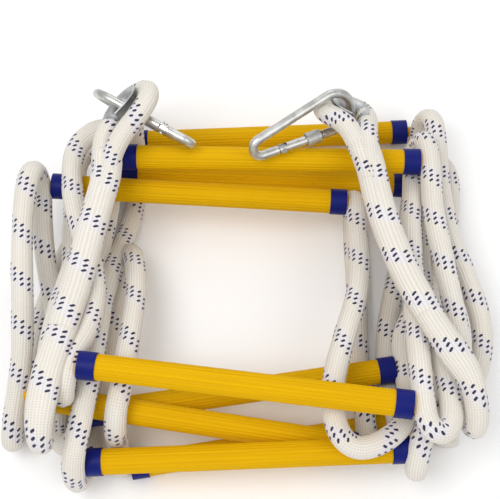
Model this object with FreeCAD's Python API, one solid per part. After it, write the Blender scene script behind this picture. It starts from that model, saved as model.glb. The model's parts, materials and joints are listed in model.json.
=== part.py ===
import FreeCAD, Part
import math
import os

V = FreeCAD.Vector

# ---------------------------------------------------------------- driving dimensions (mm)
ROPE_D = 20.0            # double-braided side rope
RUNG_D = 25.0            # moulded rung over its ribs
RUNG_RIBS = 24           # fine lengthwise ribs round the rung
RIB_DEPTH = 0.45
SPIGOT_D = 11.0          # reduced rung end that runs through the rope
SPIGOT_LENGTH = 16.5
BAND_D = 27.0            # coloured end band
BAND_LENGTH = 17.0
BAND_FIT = 0.05
SPLICE_WIDTH = 28.5      # doubled, sewn stretch under each eye
SPLICE_THICKNESS = 21.4
CAP_D = 22.6             # sewn rope end
CAP_LENGTH = 11.0
EYE_RADIUS = 22.0        # rope centreline round the thimble
THIMBLE_PLATE = 1.5
THIMBLE_GAP = 0.2
THIMBLE_LIP_DEG = 78.0
WIRE_D = 9.5             # snap hook wire
HOOK_BIG_R = 20.8        # centreline radius of the wide end
HOOK_SMALL_R = 9.7
HOOK_SPAN = 83.0         # between the two end centres
NOSE_AT = 16.0           # along the gate side, from the wide end tangent point
PIVOT_AT = 60.0
GATE_GAP = 0.7
TONGUE_T = 3.2
SLOT_T = 4.0
RIVET_D = 3.2
RIVET_BORE_D = 3.9
RIVET_HEAD_D = 5.0
SLEEVE_BORE_D = 10.3
SLEEVE_D = 14.5
SLEEVE_LENGTH = 15.0
SLEEVE_AT = 18.5

# ends of each rung axis, left then right, in ladder order from the top
RUNGS = [
    ((-134, 119, 92), (176, 113, 92)),
    ((-159, -114, 120), (149, -152, 120)),
    ((-138, 126, 40), (172, 112, 40)),
    ((-160, -139, 34.5), (146, -93, 34.5)),
    ((-208, 98, 66), (101, 79, 66)),
    ((-203, -131, 66), (104, -172, 38)),
    ((-132, 179, 14), (177, 191, 17)),
    ((-158, -191, 53), (152, -181, 66)),
    ((-118, -187, 14), (188, -138, 14)),
]

# centreline of each side rope: eye, long front run, then one fold for each rung
LEFT_ROUTE = [
    (-140.9, 133.7, 129.8), (-138.3, 155.5, 118.1), (-121, 172.4, 125.8), (-106.1, 167.1, 145.8),
    (-108.5, 144.9, 157.9), (-143.2, 111.1, 142.4), (-143, 77, 126), (-154, 30, 122), (-163, -23, 122),
    (-175, -76, 125), (-187, -128, 129), (-191, -171, 129), (-191, -188, 110), (-192, -175, 90),
    (-195, -128, 90), (-194, -68, 84), (-180, 2, 76), (-164, 42, 76), (-146, 92, 91), (-145, 147, 93), (-171, 147, 91), (-172, 98, 91), (-167, 44, 98), (-150, -20, 100), (-153, -73, 108),
    (-168, -103, 118), (-171, -130, 120), (-175, -141, 103), (-176, -130, 87), (-177, -96, 78), (-170, -48, 60),
    (-160, 17, 46), (-149, 94, 40), (-149, 144, 40), (-169, 156, 40), (-189, 144, 40), (-190, 100, 38),
    (-189, 32, 38), (-182, -33, 36), (-171, -96, 34), (-169, -122, 34), (-170, -160, 34), (-182, -170, 22),
    (-194, -159, 10.5), (-196, -118, 10.5), (-199, -58, 18), (-205, -18, 34), (-212, 17, 52), (-217, 54, 62),
    (-219, 94, 67), (-222, 106, 87), (-225, 94, 107), (-228, 52, 105), (-227, 2, 95), (-224, -53, 80),
    (-223, -98, 70), (-229, -153, 62), (-233, -171, 37), (-235, -153, 11), (-230, -103, 10.5),
    (-223, -43, 10.5), (-206, 27, 10.5), (-178, 92, 10.5), (-145, 147, 12), (-142, 198, 15), (-137, 210, 34),
    (-131, 198, 53), (-128, 175, 48), (-126, 150, 14), (-125, 112, 11), (-131, 77, 14), (-141, 32, 34),
    (-148, -18, 60), (-149, -68, 80), (-153, -118, 88), (-159, -160, 90), (-166, -197, 82), (-168, -211, 40),
    (-162, -192, 10.5), (-156, -138, 10.5), (-149, -83, 10.5), (-146, -28, 11), (-138, 22, 12), (-129, 40, 28),
    (-120, 22, 50), (-114, -23, 68), (-118, -78, 82), (-123, -128, 88), (-127, -148, 86), (-129.5, -165, 64),
    (-129.5, -167, 40), (-129.5, -177, 15), (-129.5, -195, 14),
]
RIGHT_ROUTE = [
    (97.9, 136, 132.8), (78.9, 151.4, 128.3), (81.6, 171.1, 112.6), (103.9, 175.4, 101.3),
    (123.5, 159.8, 105.7), (117, 120.3, 137.1), (122, 74, 127), (133, 27, 121), (149, -23, 122),
    (168, -65, 123), (185, -98, 127), (203, -128, 127), (208, -158, 120), (209, -170, 98), (208, -158, 77),
    (208, -118, 79), (203, -63, 84), (194, -3, 90), (186, 57, 91), (187, 94, 92), (186, 136, 92),
    (181, 147, 75), (175, 136, 58), (171, 92, 71), (163, 37, 86), (160, -18, 98), (160, -78, 103),
    (158, -123, 118), (159, -168, 121), (172, -179, 118), (186, -168, 114), (186, -128, 104), (181, -93, 95),
    (174, -56, 78), (175, 7, 56), (182, 92, 40), (183, 135, 39), (201, 146, 35), (219, 135, 31), (218, 94, 31),
    (208, 42, 31), (186, -3, 32), (160, -46, 33), (154, -71, 34), (158, -115, 39), (156, -138, 62),
    (143, -164, 84), (121, -182, 92), (97, -187, 91), (80, -169, 90), (77, -128, 90), (90, -80, 86),
    (108, -28, 78), (112, 12, 70), (110, 50, 66), (110, 82, 65), (111, 93, 39), (112, 82, 12), (113, 50, 10.5),
    (114, -5, 10.5), (113, -58, 10.3), (113, -115, 10.3), (114, -135, 35), (114, -152, 39), (115, -171, 38),
    (130, -181, 37), (145, -171, 37), (146, -152, 39), (144, -136, 38), (142, -114, 17), (141, -100, 10.3),
    (141, -73, 10.3), (146, -26, 10.5), (170, 62, 10.5), (183, 132, 11.5), (186, 147, 13), (189, 183, 14),
    (194, 195, 40), (200, 180, 66), (201, 137, 66), (201, 94, 65), (206, 47, 62), (222, -3, 58), (235, -48, 54),
    (233, -88, 48), (216, -123, 46), (199, -140, 52), (183, -152, 68), (167, -158, 80), (158, -187, 78),
    (157, -203, 57), (164, -188, 38), (170, -154, 39), (175, -128, 38), (184, -93, 18), (184, -60, 10.5),
    (184, -32, 10.5), (199, -23, 10.5), (214, -32, 10.5), (211, -68, 11), (199, -116, 13), (198, -165, 14),
]
SPLICE_POINTS = (5, 9)   # the doubled stretch runs between these route points

# eye: centre, long axis and roll about it; hook: centre of its wide end, direction of its
# small end and tilt of its plane
EYES = {
    "left": {
        "centre": (-123.4, 150.2, 138), "up": (0.45, 0.89, -0.1), "roll": 52,
        "hook_at": (-138.9, 166.2, 120), "hook": (0.859, -0.511, -0.006), "tilt": 290,
    },
    "right": {
        "centre": (101.2, 155.6, 117), "up": (-0.42, 0.88, -0.5), "roll": -30,
        "hook_at": (85, 152.2, 125.9), "hook": (-0.878, -0.478, -0.011), "tilt": 58,
    },
}


def save(name, shape):
    shape.exportStep("parts/" + name + ".step")
    return shape


# ---------------------------------------------------------------- rope
def route_wire(points, first=0, last=None, report=None):
    """Straight runs joined by tangent arcs; each arc uses 0.45 of the shorter run."""
    pts = [V(*p) for p in points][first:last]
    edges = []
    start = pts[0]
    radii = []
    for i in range(1, len(pts) - 1):
        a = pts[i] - pts[i - 1]
        b = pts[i + 1] - pts[i]
        cut = 0.45 * min(a.Length, b.Length)
        half = a.getAngle(b) / 2
        radii.append(cut / math.tan(half))
        a.normalize()
        b.normalize()
        p0 = pts[i] - a * cut
        p1 = pts[i] + b * cut
        bisector = b - a
        bisector.normalize()
        to_centre = radii[-1] / math.cos(half)
        mid = pts[i] + bisector * (to_centre - radii[-1])
        edges.append(Part.LineSegment(start, p0).toShape())
        edges.append(Part.Arc(p0, mid, p1).toShape())
        start = p1
    edges.append(Part.LineSegment(start, pts[-1]).toShape())
    if report:
        low = sorted(radii)[:6]
        print(report, "smallest bend radii (mm):", [round(r, 1) for r in low])
        print(report, "length (mm):", round(sum(e.Length for e in edges)))
    return Part.Wire(edges)


def sweep(wire, profile, fixed_up=None):
    maker = Part.BRepOffsetAPI.MakePipeShell(wire)
    if fixed_up:
        maker.setBiNormalMode(fixed_up)
    maker.add(profile)
    maker.build()
    maker.makeSolid()
    return maker.shape()


def start_frame(wire):
    edge = wire.OrderedEdges[0]
    point = edge.valueAt(edge.FirstParameter)
    return point, edge.tangentAt(edge.FirstParameter)


def round_tube(wire, diameter):
    point, tangent = start_frame(wire)
    return sweep(wire, Part.Wire(Part.Circle(point, tangent, diameter / 2).toShape()))


def oval_tube(wire, width, thickness):
    point, tangent = start_frame(wire)
    across = tangent.cross(V(0, 0, 1))
    across.normalize()
    centre = point
    ellipse = Part.Ellipse(centre + across * (width / 2), centre + across.cross(tangent) * (thickness / 2), centre)
    return sweep(wire, Part.Wire(ellipse.toShape()), V(0, 0, 1))


def make_rope(side, route):
    wire = route_wire(route, report=side + " rope")
    rope = save(side + "_side_rope", round_tube(wire, ROPE_D))
    ideal = math.pi * ROPE_D ** 2 / 4 * wire.Length
    print(side, "rope volume / (section x length):", round(rope.Volume / ideal, 4))
    doubled = route_wire(route, SPLICE_POINTS[0], SPLICE_POINTS[1] + 1)
    save(side + "_eye_splice", oval_tube(doubled, SPLICE_WIDTH, SPLICE_THICKNESS))
    end = V(*route[-1])
    along = end - V(*route[-2])
    along.normalize()
    cap = Part.makeCylinder(CAP_D / 2, CAP_LENGTH, end - along * (CAP_LENGTH - 1.5), along)
    bore = Part.makeCylinder(ROPE_D / 2, CAP_LENGTH - 1.5, end - along * (CAP_LENGTH - 1.5), along)
    save(side + "_rope_end_whipping", cap.cut(bore))


# ---------------------------------------------------------------- rungs
def ribbed_bar(length):
    corners = []
    for i in range(2 * RUNG_RIBS):
        radius = RUNG_D / 2 - (RIB_DEPTH if i % 2 else 0)
        angle = math.pi * i / RUNG_RIBS
        corners.append(V(radius * math.cos(angle), radius * math.sin(angle), 0))
    corners.append(corners[0])
    return Part.Face(Part.makePolygon(corners)).extrude(V(0, 0, length))


def rung_placement(start, axis):
    return FreeCAD.Placement(start, FreeCAD.Rotation(V(0, 0, 1), axis))


def make_rung(number, left, right):
    start = V(*left)
    axis = V(*right) - start
    length = axis.Length
    name = "rung_%d" % number
    bar = ribbed_bar(length)
    for z, direction in ((0, V(0, 0, -1)), (length, V(0, 0, 1))):
        spigot = Part.makeCylinder(SPIGOT_D / 2, SPIGOT_LENGTH, V(0, 0, z), direction)
        bar = bar.fuse(spigot)
    placement = rung_placement(start, axis)
    bar.Placement = placement
    save(name, bar)
    inner = RUNG_D / 2 + BAND_FIT
    for side, z in (("left", 0), ("right", length - BAND_LENGTH)):
        band = Part.makeCylinder(BAND_D / 2, BAND_LENGTH, V(0, 0, z))
        band = band.cut(Part.makeCylinder(inner, BAND_LENGTH, V(0, 0, z)))
        band.Placement = placement
        save("%s_%s_band" % (name, side), band)


# ---------------------------------------------------------------- thimble
def make_thimble(side, eye):
    """Half-round channel bent to a teardrop; local x across, y towards the eye top."""
    r = EYE_RADIUS
    half = math.radians(30)
    turn_l = V(-r * math.cos(half), -r * math.sin(half), 0)
    turn_r = V(r * math.cos(half), -r * math.sin(half), 0)
    leg = 13.0
    down = V(math.sin(half), -math.cos(half), 0)
    end_l = turn_l + down * leg
    end_r = turn_r + V(-down.x, down.y, 0) * leg
    wire = Part.Wire([
        Part.LineSegment(end_l, turn_l).toShape(),
        Part.Arc(turn_l, V(0, r, 0), turn_r).toShape(),
        Part.LineSegment(turn_r, end_r).toShape(),
    ])
    tangent = down * -1
    inward = V(-tangent.y, tangent.x, 0) * -1
    inner = ROPE_D / 2 + THIMBLE_GAP
    outer = inner + THIMBLE_PLATE

    def on_rope(radius, degrees):
        angle = math.radians(degrees)
        return end_l + inward * (radius * math.cos(angle)) + V(0, 0, 1) * (radius * math.sin(angle))

    lip = THIMBLE_LIP_DEG
    profile = Part.Wire([
        Part.Arc(on_rope(inner, -lip), on_rope(inner, 0), on_rope(inner, lip)).toShape(),
        Part.LineSegment(on_rope(inner, lip), on_rope(outer, lip)).toShape(),
        Part.Arc(on_rope(outer, lip), on_rope(outer, 0), on_rope(outer, -lip)).toShape(),
        Part.LineSegment(on_rope(outer, -lip), on_rope(inner, -lip)).toShape(),
    ])
    thimble = sweep(wire, profile, V(0, 0, 1))
    thimble.Placement = eye_placement(eye)
    save(side + "_thimble", thimble)


def eye_axes(eye):
    """Unit vectors across the eye, along it and square to its plane."""
    up = V(*eye["up"])
    up.normalize()
    level = up.cross(V(0, 0, 1))
    level.normalize()
    roll = math.radians(eye["roll"])
    across = level * math.cos(roll) + level.cross(up) * math.sin(roll)
    return across, up, across.cross(up)


def eye_placement(eye):
    across, up, normal = eye_axes(eye)
    return FreeCAD.Placement(V(*eye["centre"]), FreeCAD.Rotation(across, up, normal, "ZXY"))


# ---------------------------------------------------------------- snap hook
def hook_frame(eye):
    """Local x towards the small end, y towards the spine, z square to the hook plane."""
    a = V(*eye["hook"])
    a.normalize()
    level = V(0, 0, 1).cross(a)
    if level.y < 0:
        level = level * -1
    level.normalize()
    tilt = math.radians(eye["tilt"])
    b = level * math.cos(tilt) + V(0, 0, 1) * math.sin(tilt)
    b = b - a * b.dot(a)
    b.normalize()
    return FreeCAD.Placement(V(*eye["hook_at"]), FreeCAD.Rotation(a, b, a.cross(b), "ZXY"))


def gate_line():
    """Tangent points and direction of the straight gate side."""
    beta = math.asin((HOOK_BIG_R - HOOK_SMALL_R) / HOOK_SPAN)
    p0 = V(HOOK_BIG_R * math.sin(beta), -HOOK_BIG_R * math.cos(beta), 0)
    p1 = V(HOOK_SPAN + HOOK_SMALL_R * math.sin(beta), -HOOK_SMALL_R * math.cos(beta), 0)
    direction = p1 - p0
    direction.normalize()
    return p0, p1, direction


def hook_body():
    p0, p1, along = gate_line()
    q0 = V(p0.x, -p0.y, 0)
    q1 = V(p1.x, -p1.y, 0)
    nose = p0 + along * NOSE_AT
    shoulder = p0 + along * (PIVOT_AT + 5.5)
    wire = Part.Wire([
        Part.LineSegment(nose, p0).toShape(),
        Part.Arc(p0, V(-HOOK_BIG_R, 0, 0), q0).toShape(),
        Part.LineSegment(q0, q1).toShape(),
        Part.Arc(q1, V(HOOK_SPAN + HOOK_SMALL_R, 0, 0), p1).toShape(),
        Part.LineSegment(p1, shoulder).toShape(),
    ])
    body = round_tube(wire, WIRE_D)
    across = V(-along.y, along.x, 0)
    tongue_start = p0 + along * (PIVOT_AT - 3.2)
    tongue = Part.makeBox(9.2, 6.4, TONGUE_T)
    tongue.Placement = FreeCAD.Placement(
        tongue_start - across * 3.2 - V(0, 0, TONGUE_T / 2), FreeCAD.Rotation(V(1, 0, 0), along))
    pivot = p0 + along * PIVOT_AT
    hole = Part.makeCylinder(RIVET_D / 2, 20, pivot - V(0, 0, 10))
    return body.fuse(tongue).cut(hole).removeSplitter()


def hook_gate():
    p0, p1, along = gate_line()
    across = V(-along.y, along.x, 0)
    start = p0 + along * (NOSE_AT + GATE_GAP)
    length = PIVOT_AT + 4.6 - NOSE_AT - GATE_GAP
    gate = Part.makeCylinder(WIRE_D / 2, length, start, along)
    slot = Part.makeBox(14.0, 14.0, SLOT_T)
    slot.Placement = FreeCAD.Placement(
        p0 + along * (PIVOT_AT - 4.4) - across * 7.0 - V(0, 0, SLOT_T / 2), FreeCAD.Rotation(V(1, 0, 0), along))
    pivot = p0 + along * PIVOT_AT
    bore = Part.makeCylinder(RIVET_BORE_D / 2, 20, pivot - V(0, 0, 10))
    return gate.cut(slot).cut(bore)


def hook_rivet():
    p0, p1, along = gate_line()
    pivot = p0 + along * PIVOT_AT
    half = WIRE_D / 2 + 0.5
    pin = Part.makeCylinder(RIVET_D / 2, 2 * half, pivot - V(0, 0, half))
    for z in (-half - 0.9, half):
        pin = pin.fuse(Part.makeCylinder(RIVET_HEAD_D / 2, 0.9, pivot + V(0, 0, z)))
    return pin


def lock_sleeve():
    p0, p1, along = gate_line()
    start = p0 + along * SLEEVE_AT
    sleeve = Part.makeCylinder(SLEEVE_D / 2, SLEEVE_LENGTH, start, along)
    return sleeve.cut(Part.makeCylinder(SLEEVE_BORE_D / 2, SLEEVE_LENGTH, start, along))


def make_hook(side, eye):
    frame = hook_frame(eye)
    pieces = {
        "hook_body": hook_body(),
        "hook_gate": hook_gate(),
        "hook_rivet": hook_rivet(),
        "hook_lock_sleeve": lock_sleeve(),
    }
    for name, shape in pieces.items():
        shape.Placement = frame.multiply(shape.Placement)
        save(side + "_" + name, shape)
    p0, p1, along = gate_line()
    turn = frame.Rotation
    across, up, normal = eye_axes(eye)
    print(side, "hook swings at", V(*eye["centre"]) - across * EYE_RADIUS, "about", across, "or", up)
    print(side, "gate pivot", frame.multVec(p0 + along * PIVOT_AT), "opens about", turn.multVec(V(0, 0, -1)))
    print(side, "sleeve slides along", turn.multVec(along))


os.makedirs("parts", exist_ok=True)
make_rope("left", LEFT_ROUTE)
make_rope("right", RIGHT_ROUTE)
for index, (left_end, right_end) in enumerate(RUNGS):
    make_rung(index + 1, left_end, right_end)
for side_name, eye_data in EYES.items():
    make_thimble(side_name, eye_data)
    make_hook(side_name, eye_data)
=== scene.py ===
import json
import math

import bpy
import numpy as np
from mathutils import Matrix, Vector

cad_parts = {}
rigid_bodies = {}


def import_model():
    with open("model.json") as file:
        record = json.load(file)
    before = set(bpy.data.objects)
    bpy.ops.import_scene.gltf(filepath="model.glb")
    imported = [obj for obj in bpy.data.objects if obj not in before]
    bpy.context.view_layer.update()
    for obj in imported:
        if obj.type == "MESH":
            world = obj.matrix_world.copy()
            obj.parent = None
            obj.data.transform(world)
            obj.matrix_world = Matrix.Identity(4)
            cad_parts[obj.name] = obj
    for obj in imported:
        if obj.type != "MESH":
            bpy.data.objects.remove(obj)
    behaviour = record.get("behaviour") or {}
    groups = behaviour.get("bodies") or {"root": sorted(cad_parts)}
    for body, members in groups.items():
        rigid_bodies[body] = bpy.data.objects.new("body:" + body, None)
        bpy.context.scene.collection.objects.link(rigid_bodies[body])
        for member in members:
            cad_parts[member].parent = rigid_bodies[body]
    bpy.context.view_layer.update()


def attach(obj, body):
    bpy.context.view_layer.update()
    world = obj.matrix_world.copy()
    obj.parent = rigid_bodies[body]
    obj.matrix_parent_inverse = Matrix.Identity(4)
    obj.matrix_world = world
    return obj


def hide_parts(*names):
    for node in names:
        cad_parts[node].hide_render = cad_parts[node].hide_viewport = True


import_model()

# ---------------------------------------------------------------- sizes (metres)
ROPE_D = 0.020
LOOSE_D = 0.0214          # the braid relaxes a little over its nominal size
DOUBLED_HALF = 0.0141     # half width of the doubled front run
CROTCH_HALF = 0.0155      # and where the two legs of the eye meet
SPLICE_THICK = 0.0113     # half thickness of the sewn splice
SPLICE_BLEND = 0.045      # length in which it passes from between the legs to the rope's own line
RING_STEP = 0.0016        # distance between the rings of a rope's mesh
EYE_RINGS = 400           # the eye lies within this many rings from the start
SEGMENTS = 72
MESH_PLAIT = 18           # yarn columns shown as geometry
YARN_RELIEF = 0.00014

# tracer stitches on the braid: slanting groups of three rows
TRACER_COLUMNS = 9
TRACER_STEP = 0.0053
TRACER_ROWS = 2.5         # rows 0, 1 and 2 of each turn carry a stitch
DASH_HALF = 0.0021
DASH_THICK = 0.00112
DASH_SLOPE = math.radians(-36)
DASH_JITTER = 0.0016
CLOTH_PLAIT = 24          # yarn columns shown in the material
CLOTH_PITCH = 1500.0      # radians per metre along the rope

# ---------------------------------------------------------------- camera
ELEVATION = math.radians(67)
DISTANCE = 1.080
AIM = (0.0, 0.032, 0.050)
LENS = 74.4

# Route points of each side rope (mm), which the CAD tubes follow too. The first three of the left
# rope and the first two of the right one are added: the buried leg of the eye, in the doubled
# stretch. The free legs of the eyes and the left rope's fold over rung 1 are moved by up to 13 mm.
LEFT_ROUTE = [
    (-148, 66, 124), (-149, 96, 127), (-148, 120, 129), (-140.9, 133.7, 129.8), (-138.3, 155.5, 118.1),
    (-121, 172.4, 125.8), (-101, 168, 146), (-103, 142, 157), (-133, 112, 139), (-142, 80, 127),
    (-154, 30, 122), (-163, -23, 122), (-175, -76, 125), (-187, -128, 129), (-191, -171, 129),
    (-191, -188, 110), (-192, -175, 90), (-195, -128, 90), (-194, -68, 84), (-180, 2, 76),
    (-164, 42, 76), (-146, 92, 91), (-146, 147, 93), (-160, 153, 92), (-183, 132, 92), (-185, 92, 92),
    (-174, 44, 98), (-150, -20, 100), (-153, -73, 108), (-168, -103, 118), (-171, -130, 120),
    (-175, -141, 103), (-176, -130, 87), (-177, -96, 78), (-170, -48, 60), (-160, 17, 46),
    (-149, 94, 40), (-149, 144, 40), (-169, 156, 40), (-189, 144, 40), (-190, 100, 38), (-189, 32, 38),
    (-182, -33, 36), (-171, -96, 34), (-169, -122, 34), (-170, -160, 34), (-182, -170, 22),
    (-194, -159, 10.5), (-196, -118, 10.5), (-199, -58, 18), (-205, -18, 34), (-212, 17, 52),
    (-217, 54, 62), (-219, 94, 67), (-222, 106, 87), (-225, 94, 107), (-228, 52, 105), (-227, 2, 95),
    (-224, -53, 80), (-223, -98, 70), (-229, -153, 62), (-233, -171, 37), (-235, -153, 11),
    (-230, -103, 10.5), (-223, -43, 10.5), (-206, 27, 10.5), (-178, 92, 10.5), (-145, 147, 12),
    (-142, 198, 15), (-137, 210, 34), (-131, 198, 53), (-128, 175, 48), (-126, 150, 14),
    (-125, 112, 11), (-131, 77, 14), (-141, 32, 34), (-148, -18, 60), (-149, -68, 80), (-153, -118, 88),
    (-159, -160, 90), (-166, -197, 82), (-168, -211, 40), (-162, -192, 10.5), (-156, -138, 10.5),
    (-149, -83, 10.5), (-146, -28, 11), (-138, 22, 12), (-129, 40, 28), (-120, 22, 50), (-114, -23, 68),
    (-118, -78, 82), (-123, -128, 88), (-127, -148, 86), (-129.5, -165, 64), (-129.5, -167, 40),
    (-129.5, -177, 15), (-129.5, -195, 14),
]
RIGHT_ROUTE = [
    (119, 74, 128), (111, 106, 131), (97.9, 136, 132.8), (74.5, 151.4, 128), (77.5, 172, 113),
    (103.9, 175.4, 101.3), (123.5, 159.8, 105.7), (117, 120.3, 137.1), (122, 74, 127), (133, 27, 121),
    (149, -23, 122), (168, -65, 123), (185, -98, 127), (203, -128, 127), (208, -158, 120),
    (209, -170, 98), (208, -158, 77), (208, -118, 79), (203, -63, 84), (194, -3, 90), (186, 57, 91),
    (187, 94, 92), (186, 136, 92), (181, 147, 75), (175, 136, 58), (171, 92, 71), (163, 37, 86),
    (160, -18, 98), (160, -78, 103), (158, -123, 118), (159, -168, 121), (172, -179, 118),
    (186, -168, 114), (186, -128, 104), (181, -93, 95), (174, -56, 78), (175, 7, 56), (182, 92, 40),
    (183, 135, 39), (201, 146, 35), (219, 135, 31), (218, 94, 31), (208, 42, 31), (186, -3, 32),
    (160, -46, 33), (154, -71, 34), (158, -115, 39), (156, -138, 62), (143, -164, 84), (121, -182, 92),
    (97, -187, 91), (80, -169, 90), (77, -128, 90), (90, -80, 86), (108, -28, 78), (112, 12, 70),
    (110, 50, 66), (110, 82, 65), (111, 93, 39), (112, 82, 12), (113, 50, 10.5), (114, -5, 10.5),
    (113, -58, 10.3), (113, -115, 10.3), (114, -135, 35), (114, -152, 39), (115, -171, 38),
    (130, -181, 37), (145, -171, 37), (146, -152, 39), (144, -136, 38), (142, -114, 17),
    (141, -100, 10.3), (141, -73, 10.3), (146, -26, 10.5), (170, 62, 10.5), (183, 132, 11.5),
    (186, 147, 13), (189, 183, 14), (194, 195, 40), (200, 180, 66), (201, 137, 66), (201, 94, 65),
    (206, 47, 62), (222, -3, 58), (235, -48, 54), (233, -88, 48), (216, -123, 46), (199, -140, 52),
    (183, -152, 68), (167, -158, 80), (158, -187, 78), (157, -203, 57), (164, -188, 38),
    (170, -154, 39), (175, -128, 38), (184, -93, 18), (184, -60, 10.5), (184, -32, 10.5),
    (199, -23, 10.5), (214, -32, 10.5), (211, -68, 11), (199, -116, 13), (198, -165, 14),
]
# rung axis ends (mm), left then right, from the top of the ladder down
RUNGS = [
    ((-134, 119, 92), (176, 113, 92)),
    ((-159, -114, 120), (149, -152, 120)),
    ((-138, 126, 40), (172, 112, 40)),
    ((-160, -139, 34.5), (146, -93, 34.5)),
    ((-208, 98, 66), (101, 79, 66)),
    ((-203, -131, 66), (104, -172, 38)),
    ((-132, 179, 14), (177, 191, 17)),
    ((-158, -191, 53), (152, -181, 66)),
    ((-118, -187, 14), (188, -138, 14)),
]


def unit(v):
    v = np.asarray(v, float)
    return v / np.linalg.norm(v)


# ---------------------------------------------------------------- node helpers
class Nodes:
    """Small wrapper that keeps node trees readable."""

    def __init__(self, name):
        self.material = bpy.data.materials.new(name)
        self.material.use_nodes = True
        self.tree = self.material.node_tree
        self.shader = self.tree.nodes["Principled BSDF"]

    def add(self, kind, **props):
        node = self.tree.nodes.new(kind)
        for key, value in props.items():
            setattr(node, key, value)
        return node

    def link(self, a, b):
        self.tree.links.new(a, b)

    def feed(self, socket, value):
        if isinstance(value, (int, float, tuple)):
            socket.default_value = value
        else:
            self.link(value, socket)

    def math(self, op, a, b=0.0, c=None):
        node = self.add("ShaderNodeMath", operation=op)
        self.feed(node.inputs[0], a)
        self.feed(node.inputs[1], b)
        if c is not None:
            self.feed(node.inputs[2], c)
        return node.outputs[0]

    def smooth(self, value, low, high, out_low=0.0, out_high=1.0):
        node = self.add("ShaderNodeMapRange", interpolation_type="SMOOTHSTEP")
        self.feed(node.inputs[0], value)
        node.inputs[1].default_value = low
        node.inputs[2].default_value = high
        node.inputs[3].default_value = out_low
        node.inputs[4].default_value = out_high
        return node.outputs[0]

    def mix(self, factor, a, b):
        node = self.add("ShaderNodeMix", data_type="RGBA", blend_type="MIX")
        self.feed(node.inputs[0], factor)
        self.feed(node.inputs[6], a)
        self.feed(node.inputs[7], b)
        return node.outputs[2]

    def noise(self, vector, scale, detail=2.0, roughness=0.5):
        node = self.add("ShaderNodeTexNoise")
        node.inputs["Scale"].default_value = scale
        node.inputs["Detail"].default_value = detail
        node.inputs["Roughness"].default_value = roughness
        self.link(vector, node.inputs["Vector"])
        return node.outputs["Fac"]

    def combine(self, x, y, z=0.0):
        node = self.add("ShaderNodeCombineXYZ")
        for socket, value in zip(node.inputs, (x, y, z)):
            self.feed(socket, value)
        return node.outputs[0]

    def object_point(self):
        return self.add("ShaderNodeTexCoord").outputs["Object"]

    def bump(self, height, strength, distance):
        node = self.add("ShaderNodeBump")
        node.inputs["Strength"].default_value = strength
        node.inputs["Distance"].default_value = distance
        self.link(height, node.inputs["Height"])
        return node.outputs[0]


def rgb(r, g, b):
    return (r, g, b, 1.0)


# ---------------------------------------------------------------- materials
def plait_height(n, u, v):
    """Two families of yarns that cross, over straight columns."""
    turns = 2 * math.pi * CLOTH_PLAIT
    climb = n.math("MULTIPLY", v, CLOTH_PITCH)
    wave_a = n.math("SINE", n.math("MULTIPLY_ADD", u, turns, climb))
    wave_b = n.math("SINE", n.math("SUBTRACT", n.math("MULTIPLY", u, turns), climb))
    knit = n.math("MULTIPLY", wave_a, wave_b)
    column = n.math("SINE", n.math("MULTIPLY", u, turns))
    return n.math("ADD", n.math("MULTIPLY", knit, 0.5), n.math("MULTIPLY", column, 0.6))


def tracer_stitches(n, u, v):
    """The stitches themselves, and the tinted band that each group of them lies in."""
    columns = float(TRACER_COLUMNS)
    grid_u = n.math("MULTIPLY", u, columns)
    grid_v = n.math("MULTIPLY", v, 1.0 / TRACER_STEP)
    col = n.math("FLOOR", grid_u)
    row = n.math("FLOOR", grid_v)
    phase = n.math("FLOORED_MODULO", n.math("ADD", col, row), columns)
    in_group = n.math("LESS_THAN", phase, TRACER_ROWS)
    offset_u = n.math("SUBTRACT", n.math("FRACT", grid_u), 0.5)
    offset_v = n.math("SUBTRACT", n.math("FRACT", grid_v), 0.5)
    cell_x = n.math("MULTIPLY", offset_u, math.pi * ROPE_D / TRACER_COLUMNS)
    cell_y = n.math("MULTIPLY", offset_v, TRACER_STEP)
    cell = n.combine(n.math("MULTIPLY", col, 3.7), n.math("MULTIPLY", row, 5.3))
    jitter = n.noise(cell, 1.3, 0.0)
    cell_x = n.math("MULTIPLY_ADD", n.math("SUBTRACT", jitter, 0.5), DASH_JITTER, cell_x)
    cos, sin = math.cos(DASH_SLOPE), math.sin(DASH_SLOPE)
    along = n.math("ADD", n.math("MULTIPLY", cell_y, -sin), n.math("MULTIPLY", cell_x, cos))
    across = n.math("ADD", n.math("MULTIPLY", cell_y, cos), n.math("MULTIPLY", cell_x, sin))
    ex = n.math("POWER", n.math("DIVIDE", n.math("ABSOLUTE", along), DASH_HALF), 3.0)
    ey = n.math("POWER", n.math("DIVIDE", n.math("ABSOLUTE", across), DASH_THICK), 3.0)
    dash = n.math("MULTIPLY", n.smooth(n.math("ADD", ex, ey), 0.75, 1.3, 1.0, 0.0), in_group)
    band = n.math("FLOORED_MODULO", n.math("SUBTRACT", n.math("ADD", grid_u, grid_v), 1.0), columns)
    halo = n.math("MULTIPLY", n.smooth(band, -0.4, 0.4), n.smooth(band, 2.2, 3.2, 1.0, 0.0))
    return dash, halo


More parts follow.
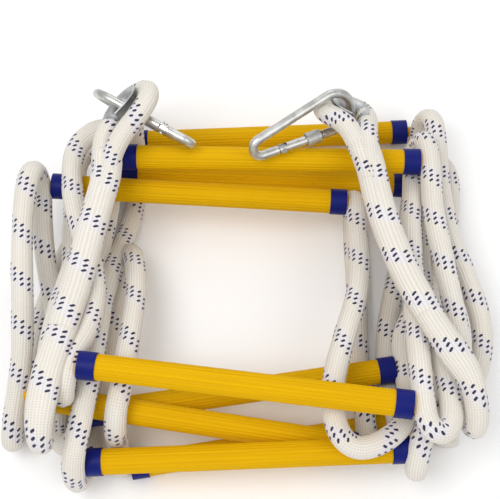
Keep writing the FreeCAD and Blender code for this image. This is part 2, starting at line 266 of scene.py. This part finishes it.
def rope_material(name, tracer=True):
    """Double braid: fine plait columns, with or without the dark tracer stitches."""
    n = Nodes(name)
    uv = n.add("ShaderNodeUVMap", uv_map="braid")
    split = n.add("ShaderNodeSeparateXYZ")
    n.link(uv.outputs[0], split.inputs[0])
    u, v = split.outputs[0], split.outputs[1]
    point = n.object_point()
    height = plait_height(n, u, v)
    cloth = n.noise(point, 900.0, 3.0)
    cloud = n.noise(point, 22.0, 3.0)
    base = n.mix(cloud, rgb(0.70, 0.655, 0.585), rgb(0.80, 0.77, 0.715))
    # painted shade: the low parts of the plait, the grooves between the yarns, are coloured a darker brown
    base = n.mix(n.smooth(height, -1.0, 0.2), rgb(0.55, 0.49, 0.40), base)
    base = n.mix(n.math("MULTIPLY", cloth, 0.25), base, rgb(0.90, 0.885, 0.85))
    if tracer:
        dash, halo = tracer_stitches(n, u, v)
        base = n.mix(n.math("MULTIPLY", halo, 0.30), base, rgb(0.68, 0.67, 0.86))
        base = n.mix(n.math("MULTIPLY", dash, 0.97), base, rgb(0.010, 0.011, 0.050))
        height = n.math("ADD", height, n.math("MULTIPLY", dash, 0.7))
    n.link(base, n.shader.inputs["Base Color"])
    n.link(n.math("MULTIPLY_ADD", cloth, 0.18, 0.66), n.shader.inputs["Roughness"])
    n.shader.inputs["Sheen Weight"].default_value = 0.18
    n.shader.inputs["Sheen Roughness"].default_value = 0.5
    n.shader.inputs["Specular IOR Level"].default_value = 0.2
    relief = n.math("ADD", height, n.math("MULTIPLY", cloth, 0.9))
    n.link(n.bump(relief, 0.55, 0.00028), n.shader.inputs["Normal"])
    return n.material


def along_coordinates(n, start, end):
    """Object coordinates turned so that x runs along the rung."""
    axis = unit(np.array(end, float) - np.array(start, float))
    yaw = math.atan2(axis[1], axis[0])
    pitch = -math.asin(axis[2])
    mapping = n.add("ShaderNodeMapping", vector_type="TEXTURE")
    mapping.inputs["Location"].default_value = [c / 1000 for c in start]
    mapping.inputs["Rotation"].default_value = (0.0, pitch, yaw)
    n.link(n.object_point(), mapping.inputs["Vector"])
    return mapping.outputs[0]


def stretched(n, vector, along, across):
    scale = n.add("ShaderNodeVectorMath", operation="MULTIPLY")
    n.link(vector, scale.inputs[0])
    scale.inputs[1].default_value = (along, across, across)
    return scale.outputs[0]


def rung_material(name, start, end):
    n = Nodes(name)
    local = along_coordinates(n, start, end)
    streak = n.noise(stretched(n, local, 0.02, 1.0), 300.0, 2.0, 0.5)
    fine = n.noise(stretched(n, local, 0.01, 1.0), 1400.0, 2.0)
    cloud = n.noise(local, 9.0, 2.0)
    base = n.mix(n.smooth(streak, 0.3, 0.7), rgb(0.62, 0.335, 0.001), rgb(0.71, 0.40, 0.0015))
    base = n.mix(n.math("MULTIPLY", cloud, 0.4), base, rgb(0.76, 0.445, 0.002))
    base = n.mix(n.math("MULTIPLY", n.smooth(fine, 0.55, 0.8), 0.15), base, rgb(0.50, 0.24, 0.001))
    n.link(base, n.shader.inputs["Base Color"])
    n.link(n.math("MULTIPLY_ADD", streak, 0.2, 0.42), n.shader.inputs["Roughness"])
    n.shader.inputs["Specular IOR Level"].default_value = 0.05
    relief = n.math("ADD", streak, n.math("MULTIPLY", fine, 0.5))
    n.link(n.bump(relief, 0.3, 0.0003), n.shader.inputs["Normal"])
    return n.material


def band_material():
    n = Nodes("blue_band")
    point = n.object_point()
    fine = n.noise(point, 700.0, 3.0)
    cloud = n.noise(point, 60.0, 2.0)
    base = n.mix(cloud, rgb(0.004, 0.008, 0.115), rgb(0.009, 0.015, 0.18))
    n.link(base, n.shader.inputs["Base Color"])
    n.link(n.math("MULTIPLY_ADD", fine, 0.25, 0.28), n.shader.inputs["Roughness"])
    n.shader.inputs["Specular IOR Level"].default_value = 0.12
    n.link(n.bump(n.math("ADD", fine, cloud), 0.25, 0.0005), n.shader.inputs["Normal"])
    return n.material


def steel_material(name, colour, rough):
    n = Nodes(name)
    point = n.object_point()
    fine = n.noise(point, 600.0, 4.0, 0.6)
    mottle_and_reflection = n.noise(point, 95.0, 3.0)
    # painted reflection: the darker blotches stand in for dark reflections on the steel, laid over its own
    # zinc mottle
    dark = tuple(c * 0.72 for c in colour)
    bright = tuple(min(1.0, c * 1.15) for c in colour)
    base = n.mix(n.smooth(mottle_and_reflection, 0.3, 0.7), rgb(*dark), rgb(*colour))
    base = n.mix(n.math("MULTIPLY", n.smooth(fine, 0.55, 0.8), 0.3), base, rgb(*bright))
    n.link(base, n.shader.inputs["Base Color"])
    n.shader.inputs["Metallic"].default_value = 1.0
    n.link(n.math("MULTIPLY_ADD", mottle_and_reflection, 0.2, rough), n.shader.inputs["Roughness"])
    relief = n.math("ADD", fine, n.math("MULTIPLY", mottle_and_reflection, 0.6))
    n.link(n.bump(relief, 0.18, 0.0004), n.shader.inputs["Normal"])
    return n.material


def floor_material():
    n = Nodes("floor")
    n.shader.inputs["Base Color"].default_value = rgb(0.96, 0.96, 0.96)
    n.shader.inputs["Roughness"].default_value = 0.9
    n.shader.inputs["Specular IOR Level"].default_value = 0.1
    return n.material


def cover(obj, material):
    obj.data.materials.clear()
    obj.data.materials.append(material)


# ---------------------------------------------------------------- ropes
def rope_line(name, route):
    """Points of the NURBS line that has the route as its control points."""
    data = bpy.data.curves.new(name, "CURVE")
    data.dimensions = "3D"
    spline = data.splines.new("NURBS")
    spline.points.add(len(route) - 1)
    for point, (x, y, z) in zip(spline.points, route):
        point.co = (x / 1000, y / 1000, z / 1000, 1.0)
    spline.order_u = 3
    spline.use_endpoint_u = True
    spline.resolution_u = 24
    obj = bpy.data.objects.new(name, data)
    bpy.context.collection.objects.link(obj)
    depsgraph = bpy.context.evaluated_depsgraph_get()
    mesh = bpy.data.meshes.new_from_object(obj.evaluated_get(depsgraph))
    points = np.array([v.co[:] for v in mesh.vertices])
    bpy.data.objects.remove(obj)
    bpy.data.meshes.remove(mesh)
    return points


def arc_lengths(points):
    steps = np.linalg.norm(np.diff(points, axis=0), axis=1)
    return np.concatenate([[0.0], np.cumsum(steps)])


def evenly(points, step):
    s = arc_lengths(points)
    count = int(round(s[-1] / step)) + 1
    at = np.linspace(0.0, s[-1], count)
    return np.column_stack([np.interp(at, s, points[:, k]) for k in range(3)]), at


def carried_frames(points):
    """Side and normal vectors carried along the line without twist."""
    tangent = np.gradient(points, axis=0)
    tangent /= np.linalg.norm(tangent, axis=1)[:, None]
    side = np.zeros_like(points)
    first = np.cross(tangent[0], (0.0, 0.0, 1.0))
    side[0] = unit(first)
    for i in range(1, len(points)):
        carried = side[i - 1] - tangent[i] * (side[i - 1] @ tangent[i])
        side[i] = carried / np.linalg.norm(carried)
    return tangent, side, np.cross(tangent, side)


def mesh_object(name, vertices, faces, uvs=None):
    mesh = bpy.data.meshes.new(name)
    mesh.from_pydata(vertices.tolist(), [], faces)
    if uvs is not None:
        layer = mesh.uv_layers.new(name="braid")
        layer.data.foreach_set("uv", np.asarray(uvs, dtype=np.float32).ravel())
    mesh.polygons.foreach_set("use_smooth", [True] * len(mesh.polygons))
    mesh.update()
    obj = bpy.data.objects.new(name, mesh)
    bpy.context.collection.objects.link(obj)
    return obj


def tube_mesh(name, points, at, offsets, u_of_segment):
    """Closed tube; offsets has one ring of vectors for each point."""
    rings, segments = offsets.shape[:2]
    vertices = (points[:, None, :] + offsets).reshape(-1, 3)
    vertices = np.vstack([vertices, points[:1], points[-1:]])
    faces = []
    uvs = []
    for i in range(rings - 1):
        for j in range(segments):
            k = (j + 1) % segments
            faces.append((i * segments + j, i * segments + k, (i + 1) * segments + k, (i + 1) * segments + j))
            u0, u1 = u_of_segment(j), u_of_segment(j + 1)
            uvs.extend([(u0, at[i]), (u1, at[i]), (u1, at[i + 1]), (u0, at[i + 1])])
    for ring, centre, flip in ((0, rings * segments, True), (rings - 1, rings * segments + 1, False)):
        for j in range(segments):
            k = (j + 1) % segments
            a, b = ring * segments + j, ring * segments + k
            faces.append((centre, b, a) if flip else (centre, a, b))
            u0, u1 = u_of_segment(j), u_of_segment(j + 1)
            uvs.extend([(u0, at[ring])] * 3 if flip else [(u1, at[ring])] * 3)
    return mesh_object(name, vertices, faces, uvs)


def ease(x):
    """Smooth step from 0 to 1."""
    x = np.clip(x, 0, 1)
    return x * x * (3 - 2 * x)


def turn(j):
    """Position round the rope of a mesh segment, from 0 to 1."""
    return j / SEGMENTS


def turn_back(j):
    """The same for a section drawn the other way round."""
    return 1 - j / SEGMENTS


def dress(obj, material, node):
    """Cover a soft piece, fix it to the ladder and let it stand for its plain CAD solid."""
    cover(obj, material)
    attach(obj, "ladder")
    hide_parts(node)


def level_across(tangent):
    """Unit vectors across a line that lie level."""
    level = np.cross(tangent, (0.0, 0.0, 1.0))
    return level / np.maximum(np.linalg.norm(level, axis=1), 1e-6)[:, None]


def make_rope(side, route, material, wide_span, seed):
    """One side rope; wide_span is the stretch of its length that is doubled."""
    line = rope_line(side + "_rope_line", route)
    points, at = evenly(line, RING_STEP)
    tangent, right, normal = carried_frames(points)
    rng = np.random.default_rng(seed)
    theta = np.arange(SEGMENTS) * 2 * math.pi / SEGMENTS
    knots = np.arange(0, at[-1] + 0.05, 0.035)
    swell = np.interp(at, knots, rng.normal(0, 1, len(knots)))
    squash_dir = np.interp(at, knots, rng.uniform(0, math.pi, len(knots)))
    radius = np.full((len(at), SEGMENTS), LOOSE_D / 2)
    radius *= 1 + 0.010 * swell[:, None]
    radius *= 1 + 0.03 * np.cos(2 * (theta[None, :] - squash_dir[:, None]))
    yarns = MESH_PLAIT * theta[None, :]
    climb = 940 * at[:, None]
    weave = np.sin(yarns + climb) * np.sin(yarns - climb)
    radius += YARN_RELIEF * weave + YARN_RELIEF * np.cos(yarns)
    offsets = right[:, None, :] * np.cos(theta)[None, :, None]
    offsets = offsets + normal[:, None, :] * np.sin(theta)[None, :, None]
    offsets = offsets * radius[:, :, None]

    # the doubled front run is wide and flat down to the first fold
    level = level_across(tangent)
    start, end = wide_span
    wide = ease((at - start) / 0.03) * ease((end - at) / 0.05)
    across = np.einsum("ijk,ik->ij", offsets, level)
    widening = (DOUBLED_HALF / (LOOSE_D / 2) - 1) * wide
    offsets += widening[:, None, None] * across[:, :, None] * level[:, None, :]
    rope = tube_mesh(side + "_braided_rope", points, at, offsets, turn)
    dress(rope, material, side + "_side_rope")
    return points, at


def make_splice(side, points, at, top_y, length, material):
    """Doubled stretch: both legs of the eye meet in a crotch and run on as one flat, wide braid."""
    far = int(np.argmax(points[:EYE_RINGS, 1]))
    first = far + int(np.argmax(points[far:, 1] < top_y))
    keep = (at >= at[first]) & (at <= at[first] + length)
    line, s = points[keep], at[keep]
    tangent = np.gradient(line, axis=0)
    tangent /= np.linalg.norm(tangent, axis=1)[:, None]
    level = level_across(tangent)
    upward = np.cross(level, tangent)
    run = s - s[0]

    # between the two legs at first, then on the rope's own line
    buried = points[:far]
    mate = buried[np.argmin(np.abs(buried[None, :, 1] - line[:, None, 1]), axis=1)]
    merged = ease(run / SPLICE_BLEND)
    line = line + 0.5 * (1 - merged)[:, None] * (mate - line)
    half = CROTCH_HALF + (DOUBLED_HALF + 0.0004 - CROTCH_HALF) * merged
    thick = np.full(len(s), SPLICE_THICK)

    # a rounded start between the legs, and a slight taper at the end
    closing = np.sqrt(np.clip(1 - (1 - np.clip(run / 0.010, 0, 1)) ** 2, 0.02, 1))
    half = half * (0.55 + 0.45 * closing)
    thick = thick * (0.60 + 0.40 * closing)
    tail = ease((s[-1] - s) / 0.02)
    half = half * (0.97 + 0.03 * tail)
    thick = thick * (0.95 + 0.05 * tail)

    # a squarish oval section with ribs and a shallow valley between the two strands
    theta = np.arange(SEGMENTS) * 2 * math.pi / SEGMENTS + math.pi / 2
    power = 2 / 2.25
    cx = np.sign(np.cos(theta)) * np.abs(np.cos(theta)) ** power
    cz = np.sign(np.sin(theta)) * np.abs(np.sin(theta)) ** power
    ribs = 1 + 0.010 * np.cos(20 * theta)
    valley = 1 - (0.16 * ease(1 - run / 0.12))[:, None] * np.exp(-(cx / 0.22) ** 2)[None, :]
    x = half[:, None] * (cx * ribs)[None, :]
    z = thick[:, None] * (cz * ribs)[None, :] * valley
    offsets = x[:, :, None] * level[:, None, :] + z[:, :, None] * upward[:, None, :]
    splice = tube_mesh(side + "_sewn_splice", line, s, offsets, turn_back)
    dress(splice, material, side + "_eye_splice")


def make_whipping(side, points, material):
    """Sewn, taped end: short sleeve of close thread turns with a domed face."""
    end = points[-1]
    direction = unit(points[-1] - points[-12])
    length, count = 0.0108, 40
    s = np.linspace(-length, 0.0013, count)
    line = end[None, :] + s[:, None] * direction[None, :]
    across = unit(np.cross(direction, (0.3, 0.2, 1.0)))
    other = np.cross(direction, across)
    radius = 0.01125 + 0.00012 * np.cos(s * 2 * math.pi / 0.0011)
    radius *= 1 - 0.16 * ease((s + 0.0015) / 0.003)
    radius *= 1 - 0.03 * ease((-length + 0.0015 - s) / 0.0015)
    theta = np.arange(SEGMENTS) * 2 * math.pi / SEGMENTS
    ring = np.cos(theta)[:, None] * across[None, :] + np.sin(theta)[:, None] * other[None, :]
    offsets = radius[:, None, None] * ring[None, :, :]
    whipping = tube_mesh(side + "_whipped_end", line, s + length, offsets, turn)
    dress(whipping, material, side + "_rope_end_whipping")


# ---------------------------------------------------------------- camera, floor and light
def place_camera():
    data = bpy.data.cameras.new("camera")
    data.lens = LENS
    data.sensor_width = 36.0
    data.clip_start = 0.01
    camera = bpy.data.objects.new("camera", data)
    bpy.context.collection.objects.link(camera)
    back = DISTANCE * math.cos(ELEVATION)
    up = DISTANCE * math.sin(ELEVATION)
    camera.location = (AIM[0], AIM[1] - back, AIM[2] + up)
    camera.rotation_euler = (math.pi / 2 - ELEVATION, 0.0, 0.0)
    bpy.context.scene.camera = camera


def area_light(name, location, aim, size, power):
    data = bpy.data.lights.new(name, "AREA")
    data.shape = "DISK"
    data.size = size
    data.energy = power
    lamp = bpy.data.objects.new(name, data)
    bpy.context.collection.objects.link(lamp)
    lamp.location = location
    direction = np.array(aim) - np.array(location)
    lamp.rotation_euler = Vector(direction.tolist()).to_track_quat("-Z", "Y").to_euler()


def make_studio():
    size = 3.0
    vertices = np.array([(-size, -size, 0), (size, -size, 0), (size, size, 0), (-size, size, 0)], float)
    floor = mesh_object("studio_floor", vertices, [(0, 1, 2, 3)])
    cover(floor, floor_material())
    world = bpy.data.worlds.new("studio")
    world.use_nodes = True
    world.node_tree.nodes["Background"].inputs[0].default_value = rgb(1.0, 1.0, 1.0)
    world.node_tree.nodes["Background"].inputs[1].default_value = 0.70
    bpy.context.scene.world = world
    area_light("key", (-0.5, -0.3, 1.5), (0, 0, 0.05), 0.9, 10.0)
    area_light("fill", (0.8, -0.6, 1.2), (0, 0, 0.05), 1.0, 3.5)
    area_light("back", (0.1, 1.2, 0.9), (0, 0, 0.05), 0.8, 2.5)


# ---------------------------------------------------------------- the ladder's parts
def make_ropes():
    """Both side ropes with their splices and whipped ends, from a few settings for each side."""
    rope_cloth = rope_material("braided_rope")
    sewn_cloth = rope_material("sewn_rope")
    plain_cloth = rope_material("whipped_thread", tracer=False)
    # side, route, stretch that is doubled, where the splice starts (y) and its length, seed
    settings = (
        ("left", LEFT_ROUTE, (0.36, 0.53), 0.106, 0.195, 3),
        ("right", RIGHT_ROUTE, (0.34, 0.50), 0.116, 0.190, 5),
    )
    for side, route, doubled, top_y, length, seed in settings:
        points, at = make_rope(side, route, rope_cloth, doubled, seed)
        make_splice(side, points, at, top_y, length, sewn_cloth)
        make_whipping(side, points, plain_cloth)


def cover_rungs():
    for number, (left_end, right_end) in enumerate(RUNGS, 1):
        name = "rung_%d" % number
        cover(bpy.data.objects[name], rung_material(name + "_yellow", left_end, right_end))
    blue = band_material()
    for number in range(1, len(RUNGS) + 1):
        for side in ("left", "right"):
            cover(bpy.data.objects["rung_%d_%s_band" % (number, side)], blue)


def cover_steel():
    hook_steel = steel_material("zinc_steel", (0.68, 0.68, 0.655), 0.24)
    sleeve_steel = steel_material("sleeve_steel", (0.62, 0.63, 0.62), 0.38)
    thimble_steel = steel_material("thimble_steel", (0.60, 0.61, 0.62), 0.36)
    pieces = (
        ("hook_body", hook_steel),
        ("hook_gate", hook_steel),
        ("hook_rivet", sleeve_steel),
        ("hook_lock_sleeve", sleeve_steel),
        ("thimble", thimble_steel),
    )
    for side in ("left", "right"):
        for piece, steel in pieces:
            cover(bpy.data.objects[side + "_" + piece], steel)


place_camera()
bpy.context.scene.view_settings.view_transform = "Standard"
make_ropes()
cover_rungs()
cover_steel()
make_studio()
